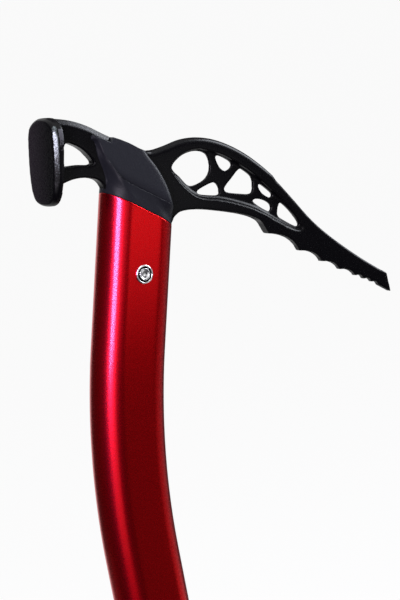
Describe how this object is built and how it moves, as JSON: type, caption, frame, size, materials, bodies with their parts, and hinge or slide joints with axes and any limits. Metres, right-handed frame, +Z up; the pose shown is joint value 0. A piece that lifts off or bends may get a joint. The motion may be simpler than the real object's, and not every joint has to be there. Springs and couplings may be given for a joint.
{
  "type": "ice climbing tool",
  "caption": "Technical ice tool: forged head with toothed pick and hammer, bent oval shaft, rubber grip, sliding hand rest with cam lever, and spike.",
  "frame": {"origin": "on the axis of the clip-in hole in the spike, at the middle of the plate", "axes": "+Z up along the lower shaft to the head, +X to the pick, +Y across the tool along the clip-in hole"},
  "size_m": [0.1888, 0.0372, 0.5125],
  "materials": {
    "forged_steel": "satin black",
    "cover_nylon": "matte",
    "shaft_alloy": "satin red anodised",
    "rivet_steel": "polished",
    "grip_rubber": "matte",
    "spike_steel": "satin",
    "rest_nylon": "matte",
    "lever_alloy": "satin black anodised"
  },
  "bodies": {
    "tool": {"forged_head": "forged_steel", "head_cover_left": "cover_nylon", "head_cover_right": "cover_nylon", "tang_packer_left": "cover_nylon", "tang_packer_right": "cover_nylon", "shaft": "shaft_alloy", "head_rivet": "rivet_steel", "head_rivet_core": "rivet_steel", "grip_sleeve": "grip_rubber", "spike": "spike_steel", "spike_plug": "cover_nylon", "spike_rivet": "rivet_steel", "spike_rivet_core": "rivet_steel"},
    "rest": {"hand_rest": "rest_nylon", "hand_rest_pad": "grip_rubber", "brake_shoe": "grip_rubber", "lever_pin": "rivet_steel"},
    "lever": {"cam_lever": "lever_alloy"}
  },
  "joints": [
    {"name": "hand_rest_slide", "type": "slide", "parent": "tool", "child": "rest", "axis": [0, 0, 1], "range_m": [0, 0.12]},
    {"name": "cam_lever_hinge", "type": "hinge", "parent": "rest", "child": "lever", "pos_m": [-0.02895, 0, 0.07435], "axis": [0, 0, -1], "range_deg": [0, 120]}
  ]
}
